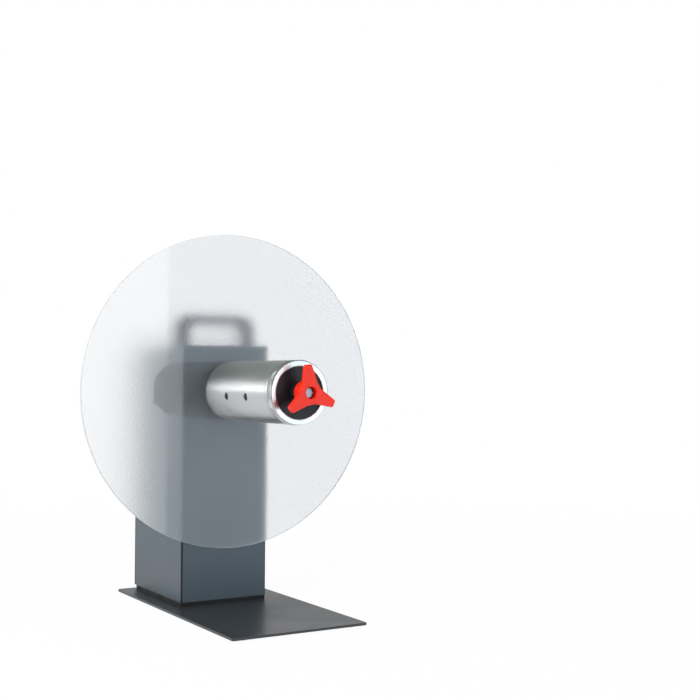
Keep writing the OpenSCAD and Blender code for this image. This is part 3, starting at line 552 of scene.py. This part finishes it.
# carry handle: a moulded arch, round in section
handleLook = {
    "legWidth": 17 * mm,
    "barThickness": 12 * mm,
    "cornerShare": 0.32,
    "squareness": 3.2,
    "around": 40,
    "legSteps": 8,
    "cornerSteps": 14,
    "barSteps": 6,
    "sharpAngle": 50,
}


def handlePath(look):
    w, h = handleHigh.x - handleLow.x, handleHigh.z - handleLow.z
    outerR = look["cornerShare"] * w / 2
    innerR = outerR - look["barThickness"] / 2
    gapHalf, gapHeight = w / 2 - look["legWidth"], h - look["barThickness"]
    heights = [i / look["legSteps"] * (h - outerR) for i in range(look["legSteps"])]
    stations = [((-w / 2, z), (-gapHalf, min(z, gapHeight - innerR))) for z in heights]
    for a in quarterTurn(look["cornerSteps"]):
        stations.append(((-w / 2 + outerR - outerR * math.cos(a), h - outerR + outerR * math.sin(a)),
                         (-gapHalf + innerR - innerR * math.cos(a),
                          gapHeight - innerR + innerR * math.sin(a))))
    for i in range(1, look["barSteps"]):
        x = -w / 2 + outerR + i / look["barSteps"] * (w / 2 - outerR)
        stations.append(((x, h), (max(x, -gapHalf + innerR), gapHeight)))
    stations.append(((0.0, h), (0.0, gapHeight)))
    stations += [((-o[0], o[1]), (-n[0], n[1])) for o, n in reversed(stations[:-1])]
    return stations


def makeHandle(look):
    midY = (handleLow.y + handleHigh.y) / 2
    halfDepth = (handleHigh.y - handleLow.y) / 2
    power = 2 / look["squareness"]
    rows = []
    for outer, inner in handlePath(look):
        outer, inner = Vector(outer), Vector(inner)
        middle, half = (outer + inner) / 2, (outer - inner) / 2
        row = []
        for i in range(look["around"]):
            a = 2 * math.pi * i / look["around"]
            c, s = math.cos(a), math.sin(a)
            across = math.copysign(abs(c) ** power, c)
            deep = math.copysign(abs(s) ** power, s)
            point = middle + half * across
            row.append((point.x, midY + halfDepth * deep, handleLow.z + point.y))
        rows.append(row)
    handle = buildMesh("carry_handle_moulded", rows, closed=False)
    shadeByAngle(handle, look["sharpAngle"])
    return dress(handle, "handle_plastic", "frame", "carry_handle")


makeHandle(handleLook)
print("carry handle: done")

# knob: three tapered lobes with rounded edges on a round boss, with a counterbore for the bolt
knobLook = {
    "lobes": 3,
    "lobeReach": 32.5 * mm,
    "lobeHalfWidth": 4.6 * mm,
    "lobeCorner": 2.1 * mm,
    "lobeBlend": 14 * mm,
    "taper": 13,
    "firstLobe": 97,
    "lobeThickness": 6 * mm,
    "bossRadius": 14.3 * mm,
    "edge": 0.9 * mm,
    "boreRadius": 7 * mm,
    "boreDepth": 11.9 * mm,
    "boltRadius": 3.2 * mm,
    "boreEdge": 0.5 * mm,
    "bossInset": 0.15 * mm,
    "bossJoin": (0.1 * mm, 0.5 * mm),
    "sideStart": (2.2, 0.4 * mm),  # in edge widths behind the front, and how far within the boss
    "faceStart": 0.3 * mm,
    "backInset": 1.2,  # in edge widths
    "edgeSteps": 6,
    "boreSteps": 4,
    "sideSteps": 16,
    "tipSteps": 8,
    "blendSteps": 24,
    "leastStep": 0.02 * mm,
    "sharpAngle": 40,
}


def lobeOutline(look):
    def arc(cx, cy, r, start, end, steps):
        angles = [math.radians(start + (end - start) * i / steps) for i in range(steps + 1)]
        return [(cx + r * math.cos(a), cy + r * math.sin(a), a) for a in angles]

    reach, half, corner = look["lobeReach"], look["lobeHalfWidth"], look["lobeCorner"]
    apart = 360 / look["lobes"]
    side = 90 - look["taper"]
    c, s = math.cos(math.radians(side)), math.sin(math.radians(side))
    # the blend's centre lies half way round to the next lobe, at 60 degrees
    centre = c * (reach - corner) + s * (half - corner) + corner + look["lobeBlend"]
    centre /= math.cos(math.radians(side - apart / 2))
    blend = arc(centre / 2, centre * math.sqrt(0.75), look["lobeBlend"],
                180 + side, 180 + apart - side, look["blendSteps"])
    blend = [(x, y, a + math.pi) for x, y, a in blend]
    tip = arc(reach - corner, corner - half, corner, -side, 0, look["tipSteps"])
    tip += arc(reach - corner, half - corner, corner, 0, side, look["tipSteps"])

    def straight(first, last):
        shares = [i / look["sideSteps"] for i in range(1, look["sideSteps"])]
        return [(first[0] + (last[0] - first[0]) * t, first[1] + (last[1] - first[1]) * t, first[2])
                for t in shares]

    lobe = tip + straight(tip[-1], blend[0]) + blend
    turn = math.radians(apart)
    nextTip = (tip[0][0] * math.cos(turn) - tip[0][1] * math.sin(turn),
               tip[0][0] * math.sin(turn) + tip[0][1] * math.cos(turn), tip[0][2] + turn)
    lobe += straight((*blend[-1][:2], nextTip[2]), nextTip)
    points = []
    for i in range(look["lobes"]):
        turn = math.radians(look["firstLobe"] + apart * i)
        c, s = math.cos(turn), math.sin(turn)
        points += [(x * c - y * s, x * s + y * c, a + turn) for x, y, a in lobe]
    return [p for i, p in enumerate(points) if math.dist(p[:2], points[i - 1][:2]) > look["leastStep"]]


def makeKnob(look):
    outline = lobeOutline(look)
    front, back = knobLow.y, knobHigh.y
    lobeBack = front + look["lobeThickness"]
    edge, boss = look["edge"], look["bossRadius"]

    def lobeRow(inset, y, least=0.0):
        row = []
        for x, z, a in outline:
            x, z = x - inset * math.cos(a), z - inset * math.sin(a)
            grow = max(1.0, least / math.hypot(x, z))
            row.append((x * grow, y, shaftZ + z * grow))
        return row

    def roundRow(radius, y):
        return [(radius * x / math.hypot(x, z), y, shaftZ + radius * z / math.hypot(x, z))
                for x, z, _ in outline]

    rows = [roundRow(look["boltRadius"], back), roundRow(boss - look["backInset"] * edge, back)]
    corner = quarterTurn(look["edgeSteps"])
    neck = boss - look["bossInset"]
    joinInset, joinLength = look["bossJoin"]
    rows += [roundRow(neck - edge * (1 - math.sin(a)), back - edge * (1 - math.cos(a))) for a in corner]
    rows.append(roundRow(neck, lobeBack + joinLength))
    rows.append(roundRow(boss - joinInset, lobeBack))
    rows += [lobeRow(edge * (1 - math.sin(a)), lobeBack - edge * (1 - math.cos(a)), boss)
             for a in corner]
    sideDepth, sideInset = look["sideStart"]
    rows.append(lobeRow(0.0, front + sideDepth * edge, boss - sideInset))
    rows += [lobeRow(edge * (1 - math.cos(a)), front + edge * (1 - math.sin(a))) for a in corner]
    rows.append(lobeRow(edge + look["faceStart"], front))
    rim, bore, floor = look["boreEdge"], look["boreRadius"], front + look["boreDepth"]
    for a in quarterTurn(look["boreSteps"]):
        rows.append(roundRow(bore + rim * (1 - math.sin(a)), front + rim * (1 - math.cos(a))))
    rows += [roundRow(bore, floor), roundRow(look["boltRadius"], floor)]
    knob = buildMesh("knob_moulded", rows)
    shadeByAngle(knob, look["sharpAngle"])
    return dress(knob, "knob_red", "knob", "tri_lobe_knob")


makeKnob(knobLook)
print("knob: done")

# drum tube: one smooth skin outside and in, with chamfered holes for the grip pins
drumLook = {
    "wall": 3.3 * mm,
    "holeRadius": 4.6 * mm,
    "chamfer": 0.4 * mm,
    "holesAround": 3,
    "firstHole": 188.6,
    "rows": (59 * mm, 111 * mm),
    "cell": 7 * mm,
    "cellSteps": 8,
    "betweenSteps": 37,
    "rowStep": 3 * mm,
    "endSteps": 14,
    "sharpAngle": 30,
}


def makeDrum(look):
    outer, inner = drumHigh.x, drumHigh.x - look["wall"]
    steps, cell, chamfer = look["cellSteps"], look["cell"], look["chamfer"]
    betweenSteps, holeRadius = look["betweenSteps"], look["holeRadius"]
    mesh = bmesh.new()
    halfTurn, apart = cell / outer, 360 / look["holesAround"]
    gap = math.radians(apart) - 2 * halfTurn
    angles, cellColumns = [], []
    for hole in range(look["holesAround"]):
        centre = math.radians(look["firstHole"] + apart * hole)
        cellColumns.append((len(angles), centre))
        angles += [centre + halfTurn * (2 * i / steps - 1) for i in range(steps)]
        angles += [centre + halfTurn + gap * i / betweenSteps for i in range(betweenSteps)]
    places, cellRows = [drumHigh.y - chamfer], []
    for row in look["rows"]:
        centre = drumHigh.y - row
        spare = places[-1] - (centre + cell)
        count = max(1, round(spare / look["rowStep"]))
        places += [places[-1] - spare * (i + 1) / count for i in range(count)]
        cellRows.append((len(places) - 1, centre))
        places += [centre + cell - 2 * cell * (i + 1) / steps for i in range(steps)]
    spare = places[-1] - (drumLow.y + chamfer)
    places += [places[-1] - spare * (i + 1) / look["endSteps"] for i in range(look["endSteps"])]
    columns = len(angles)

    def onTube(radius, angle, y):
        return mesh.verts.new((radius * math.cos(angle), y, shaftZ + radius * math.sin(angle)))

    def insideCell(i, j):
        return any(0 < (i - first) % columns < steps and start < j < start + steps
                   for first, _ in cellColumns for start, _ in cellRows)

    def faceInCell(i, j):
        return any((i - first) % columns < steps and start <= j < start + steps
                   for first, _ in cellColumns for start, _ in cellRows)

    def strip(first, second):
        count = len(first)
        for k in range(count):
            mesh.faces.new((first[k], first[(k + 1) % count], second[(k + 1) % count], second[k]))

    skins = []
    for radius in (outer, inner):
        grid = {(i, j): onTube(radius, angles[i], places[j])
                for i in range(columns) for j in range(len(places)) if not insideCell(i, j)}
        for i in range(columns):
            for j in range(len(places) - 1):
                if not faceInCell(i, j):
                    k = (i + 1) % columns
                    mesh.faces.new((grid[i, j], grid[k, j], grid[k, j + 1], grid[i, j + 1]))
        skins.append(grid)
    for first, centre in cellColumns:
        for start, middle in cellRows:
            around = [(i, 0) for i in range(steps)] + [(steps, j) for j in range(steps)]
            around += [(steps - i, steps) for i in range(steps)] + [(0, steps - j) for j in range(steps)]
            rings = []
            for grid, radius, hole in ((skins[0], outer, holeRadius + chamfer),
                                       (skins[1], inner, holeRadius)):
                border, middleRing, edgeRing = [], [], []
                for i, j in around:
                    across, down = (2 * i / steps - 1) * cell, (1 - 2 * j / steps) * cell
                    turn = math.atan2(down, across)
                    border.append(grid[(first + i) % columns, start + j])
                    sideways = math.asin(hole * math.cos(turn) / radius)
                    along = hole * math.sin(turn)
                    edgeRing.append(onTube(radius, centre + sideways, middle + along))
                    between = centre + (across / outer + sideways) / 2
                    middleRing.append(onTube(radius, between, middle + (down + along) / 2))
                strip(border, middleRing)
                strip(middleRing, edgeRing)
                rings.append(edgeRing)
            throat, radius = [], outer - chamfer
            for i, j in around:
                turn = math.atan2(1 - 2 * j / steps, 2 * i / steps - 1)
                sideways = math.asin(holeRadius * math.cos(turn) / radius)
                along = holeRadius * math.sin(turn)
                throat.append(onTube(radius, centre + sideways, middle + along))
            strip(rings[0], throat)
            strip(throat, rings[1])
    for j, y in ((0, drumHigh.y), (len(places) - 1, drumLow.y)):
        rims = [[onTube(radius, angle, y) for angle in angles]
                for radius in (outer - chamfer, inner + chamfer)]
        strip([skins[0][i, j] for i in range(columns)], rims[0])
        strip(rims[0], rims[1])
        strip(rims[1], [skins[1][i, j] for i in range(columns)])
    drum = finishMesh("core_drum_tube", mesh)
    shadeByAngle(drum, look["sharpAngle"])
    return dress(drum, "drum_steel", "spindle", "core_drum")


makeDrum(drumLook)
print("drum: done")

# black trim on the column: a black rubber gasket under the casing's edge, which also paints the shade of
# the gap there, and a thin dark strip along each front bend, which paints the dark shade line that the
# bend shows
trimLook = {
    "plateTop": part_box("base_plate")[1].z,
    "bend": 3 * mm,
    "bendSteps": 8,
    "gapShadeGasketInset": (0.4 * mm, 1.7 * mm),
    # the thin dark strips along the front bends are painted shade for the bends' dark lines
    "darkStripProud": 0.04 * mm,
    "darkStripSunk": 0.3 * mm,
    "darkStripAngles": (22, 68),
    "darkStripSteps": 8,
    "crownEnd": 0.4,  # in steps
}


def casingCorner(look, side, radius, degrees):
    a = math.radians(degrees)
    centre = (side * (casingHigh.x - look["bend"]), casingLow.y + look["bend"])
    return centre[0] + side * radius * math.cos(a), centre[1] - radius * math.sin(a)


# the gasket is black rubber filling the gap under the casing: a dark piece that also stands in for the
# shade in that gap
def makeGapShadeGasket(look):
    def outline(inset):
        radius = look["bend"] - inset
        angles = [90 * i / look["bendSteps"] for i in range(look["bendSteps"] + 1)]
        points = [casingCorner(look, -1, radius, a) for a in angles]
        points += [casingCorner(look, 1, radius, a) for a in reversed(angles)]
        back = casingHigh.y - look["bend"]
        return points + [(casingHigh.x - inset, back), (casingLow.x + inset, back)]

    outer, inner = (outline(inset) for inset in look["gapShadeGasketInset"])
    low, high = look["plateTop"], casingLow.z
    corners = ((outer, low), (outer, high), (inner, high), (inner, low))
    rows = [[(x, y, z) for x, y in line] for line, z in corners]
    gasket = buildMesh("column_gasket_gap_shade", rows)
    shadeByAngle(gasket)
    return dress(gasket, "seal_rubber", "frame")


# a thin dark rubber strip along a front bend, painted shade that draws the bend's dark line
def makeDarkBendStrip(look, name, side):
    first, last = look["darkStripAngles"]
    steps, end = look["darkStripSteps"], look["crownEnd"]
    angles = [first + (last - first) * i / steps for i in range(steps + 1)]
    crown = [look["darkStripProud"] * math.sin(math.pi * (i + end) / (steps + 2 * end))
             for i in range(steps + 1)]
    line = [casingCorner(look, side, look["bend"] + rise, a) for rise, a in zip(crown, angles)]
    line += [casingCorner(look, side, look["bend"] - look["darkStripSunk"], a) for a in reversed(angles)]
    rows = [[(x, y, z) for x, y in line] for z in (casingLow.z, casingHigh.z)]
    darkStrip = buildMesh(name, rows, closed=False)
    shadeByAngle(darkStrip)
    return dress(darkStrip, "seal_rubber", "frame")


makeGapShadeGasket(trimLook)
makeDarkBendStrip(trimLook, "corner_dark_strip_left", -1)
makeDarkBendStrip(trimLook, "corner_dark_strip_right", 1)
print("trim: done")

# the disc lets light through to what is behind it
disc = nodes["flange_disc"]
disc.visible_shadow = False
disc.visible_diffuse = False
disc.data.materials.append(sawnRim)

# small rounded edges on the frame's own pieces: node, width in mm
softEdges = {
    "base_plate": 0.5, "flange_disc": 0.35, "crank_arm": 0.8, "disc_hub": 0.4, "knob_hub": 0.5,
    "grip_pins_left": 0.5, "grip_pins_right": 0.5, "grip_pins_top": 0.5, "face_plate": 0.15,
    "housing_bolts": 0.25, "cover_screws": 0.2, "knob_bolt": 0.25, "crank_end_washer": 0.2,
    "grip_nut": 0.3, "knob_washer": 0.15, "shaft_seals": 0.2, "rubber_feet": 0.4,
}
edgeLook = {"merge": 0.001 * mm, "segments": 3, "angle": 40}
for name, width in softEdges.items():
    weld = nodes[name].modifiers.new("weld", "WELD")
    weld.merge_threshold = edgeLook["merge"]
    bevel = nodes[name].modifiers.new("softEdge", "BEVEL")
    bevel.width = width * mm
    bevel.segments = edgeLook["segments"]
    bevel.angle_limit = math.radians(edgeLook["angle"])
    bevel.harden_normals = True
print("edges softened:", len(softEdges))


# sawn edges of the disc: a face that isn't turned to the front or back takes the frosted material
sawnLook = {"slotIndex": 1, "facing": 0.75}


def frostEdges(piece, look):
    tree = bpy.data.node_groups.new("sawn_edges", "GeometryNodeTree")
    for side in ("INPUT", "OUTPUT"):
        tree.interface.new_socket("Geometry", in_out=side, socket_type="NodeSocketGeometry")
    start, end = tree.nodes.new("NodeGroupInput"), tree.nodes.new("NodeGroupOutput")
    normal = tree.nodes.new("GeometryNodeInputNormal").outputs["Normal"]
    turned = calc(tree, "ABSOLUTE", addNode(tree, "SeparateXYZ", None, {0: normal}).outputs["Y"])
    mark = tree.nodes.new("GeometryNodeSetMaterialIndex")
    mark.inputs["Material Index"].default_value = look["slotIndex"]
    tree.links.new(calc(tree, "LESS_THAN", turned, look["facing"]), mark.inputs["Selection"])
    tree.links.new(start.outputs["Geometry"], mark.inputs["Geometry"])
    tree.links.new(mark.outputs["Geometry"], end.inputs["Geometry"])
    piece.modifiers.new("sawnEdges", "NODES").node_group = tree


frostEdges(disc, sawnLook)

# studio: white all round for the camera. Mirroring surfaces see the same white behind the object,
# with a bright strip low on the left, a dark ceiling, a dim right side and a dark room where the
# camera stands
studio = {
    "softLight": (0.62, 0.64, 0.66, 1),
    "softStrength": 0.85,
    "ceiling": (0.2, 0.225, 0.205, 1),
    "ceilingStart": (0.37, 0.42),
    "rightSide": 0.22,
    "rightStart": (0.72, 0.9),
    "room": 0.06,
    "roomAim": (-0.5, -0.866, 0.0),
    "roomStart": (0.3, 0.7),
    "strip": 3.0,
    "stripHeight": 0.135,
    "stripFade": (0.0, 0.13),
    "floorShare": (0.965, 1.0),
    "floorFade": (0.5, 1.6),
    "floorColor": (0.85, 0.85, 0.85, 1),
    "floorSize": 14.0,
    "floorSplit": -0.45,
}


def seenDirectly(tree):
    path = addNode(tree, "LightPath").outputs
    sharp = calc(tree, "MAXIMUM", path["Is Camera Ray"], path["Is Glossy Ray"])
    return calc(tree, "MAXIMUM", sharp, path["Is Transmission Ray"])


def makeWorld(look):
    world = bpy.data.worlds.new("studio")
    world.use_nodes = True
    tree = world.node_tree
    soft = tree.nodes["Background"]
    soft.inputs["Color"].default_value = look["softLight"]
    soft.inputs["Strength"].default_value = look["softStrength"]
    aim = addNode(tree, "TexCoord").outputs["Generated"]
    parts = addNode(tree, "SeparateXYZ", None, {0: aim}).outputs
    side = remap(tree, parts["X"], *look["rightStart"], 1.0, look["rightSide"])
    toRoom = addNode(tree, "VectorMath", {"operation": "DOT_PRODUCT"}, {0: aim, 1: look["roomAim"]})
    room = remap(tree, toRoom.outputs["Value"], *look["roomStart"], 1.0, look["room"])
    tone = calc(tree, "MULTIPLY", side, room)
    offStrip = calc(tree, "ABSOLUTE", calc(tree, "SUBTRACT", parts["Z"], look["stripHeight"]))
    strip = remap(tree, offStrip, *look["stripFade"], look["strip"], 0.0)
    left, behind = calc(tree, "LESS_THAN", parts["X"], 0.0), calc(tree, "GREATER_THAN", parts["Y"], 0.0)
    tone = calc(tree, "ADD", tone, calc(tree, "MULTIPLY", strip, calc(tree, "MULTIPLY", left, behind)))
    high = remap(tree, parts["Z"], *look["ceilingStart"], 0.0, 1.0)
    sweep = blendColor(tree, high, greyOf(tree, tone), look["ceiling"])
    mirrored = calc(tree, "GREATER_THAN", addNode(tree, "LightPath").outputs["Glossy Depth"], 0.5)
    white = addNode(tree, "Background", None, {"Color": blendColor(tree, mirrored, (1, 1, 1, 1), sweep)})
    mix = addNode(tree, "MixShader", None, {
        0: seenDirectly(tree), 1: soft.outputs[0], 2: white.outputs[0]})
    tree.links.new(mix.outputs[0], tree.nodes["World Output"].inputs["Surface"])
    bpy.context.scene.world = world


# stage helper: one flat rectangle with its own material
def makeSheet(name, corners, material):
    mesh = bpy.data.meshes.new(name)
    mesh.from_pydata(corners, [], [(0, 1, 2, 3)])
    mesh.materials.append(material)
    sheet = linkObject(name, mesh)
    return sheet


def bareMaterial(name):
    material = bpy.data.materials.new(name)
    material.use_nodes = True
    material.node_tree.nodes.remove(material.node_tree.nodes["Principled BSDF"])
    return material, material.node_tree, material.node_tree.nodes["Material Output"].inputs["Surface"]


# the floor's front half is left out of reflections, which see the soft panels run on below it
def makeFloor(look):
    material, tree, surface = bareMaterial("floorWhite")
    matt = addNode(tree, "BsdfDiffuse", None, {"Color": look["floorColor"]})
    glow = addNode(tree, "Emission", None, {"Color": (1, 1, 1, 1), "Strength": 1.0})
    away = addNode(tree, "VectorMath", {"operation": "LENGTH"}, {0: objectPlace(tree)})
    share = remap(tree, away.outputs["Value"], *look["floorFade"], *look["floorShare"])
    mix = addNode(tree, "MixShader", None, {0: calc(tree, "MULTIPLY", seenDirectly(tree), share),
                                            1: matt.outputs[0], 2: glow.outputs[0]})
    tree.links.new(mix.outputs[0], surface)
    half, split = look["floorSize"] / 2, look["floorSplit"]

    def stretch(name, near, far):
        corners = [(-half, near, 0), (half, near, 0), (half, far, 0), (-half, far, 0)]
        return makeSheet(name, corners, material)

    stretch("floorBack", split, half)
    stretch("floorFront", -half, split).visible_glossy = False


# soft panels in front, seen in mirroring surfaces alone: left and right edge, colour and strength
panels = {
    "softBox": {"sides": (0.2, 0.83), "color": (0.96, 1.0, 1.0, 1), "strength": 3.8},
    "coolPanel": {"sides": (0.83, 1.8), "color": (0.85, 1.0, 1.17, 1), "strength": 1.7},
}
panelPlace = {"y": -2.25, "bottom": -0.7, "top": 1.1}


def makePanel(name, look, place):
    material, tree, surface = bareMaterial(name + "Glow")
    glow = addNode(tree, "Emission", None, {"Color": look["color"], "Strength": look["strength"]})
    tree.links.new(glow.outputs[0], surface)
    left, right = look["sides"]
    y, bottom, top = place["y"], place["bottom"], place["top"]
    corners = [(left, y, bottom), (right, y, bottom), (right, y, top), (left, y, top)]
    panel = makeSheet(name, corners, material)
    for ray in ("camera", "diffuse", "transmission", "shadow"):
        setattr(panel, "visible_" + ray, False)


# lamps: place, width and height, watts. They don't show in reflections
lamps = {
    "key": {"place": (-1.6, -0.75, 1.4), "size": (1.2, 1.2), "power": 33},
    "fill": {"place": (1.6, -2.0, 1.3), "size": (1.4, 1.4), "power": 14},
    "back": {"place": (0.6, 2.2, 1.9), "size": (1.6, 1.0), "power": 16},
}
lampTarget = Vector((0, 0, 0.2))


def makeLamp(name, look):
    data = bpy.data.lights.new(name, "AREA")
    data.shape = "RECTANGLE"
    data.size, data.size_y = look["size"]
    data.energy = look["power"]
    lamp = linkObject(name, data)
    lamp.location = look["place"]
    aim = lampTarget - Vector(look["place"])
    lamp.rotation_euler = aim.to_track_quat("-Z", "Y").to_euler()
    lamp.visible_camera = False
    lamp.visible_transmission = False
    lamp.visible_glossy = False


makeWorld(studio)
makeFloor(studio)
for name, look in panels.items():
    makePanel(name, look, panelPlace)
for name, look in lamps.items():
    makeLamp(name, look)

# camera, solved from the photograph's edges
cameraLook = {
    "place": (-0.6620, -1.4164, 0.2932),
    "turn": 31.42,
    "tilt": 1.44,
    "roll": 0.31,
    "lens": 60.82,
    "sensor": 36,
}


def makeCamera(look):
    turn, tilt, roll = (math.radians(look[name]) for name in ("turn", "tilt", "roll"))
    forward = Vector((math.sin(turn) * math.cos(tilt), math.cos(turn) * math.cos(tilt), math.sin(tilt)))
    right = Vector((math.cos(turn), -math.sin(turn), 0))
    up = right.cross(forward)
    right, up = (right * math.cos(roll) + up * math.sin(roll),
                 up * math.cos(roll) - right * math.sin(roll))
    data = bpy.data.cameras.new("camera")
    data.lens = look["lens"]
    data.sensor_width = look["sensor"]
    camera = linkObject("camera", data)
    axes = Matrix((right, up, -forward)).transposed().to_4x4()
    camera.matrix_world = Matrix.Translation(look["place"]) @ axes
    bpy.context.scene.camera = camera


makeCamera(cameraLook)
bpy.context.scene.view_settings.view_transform = "Standard"
print("studio: done")
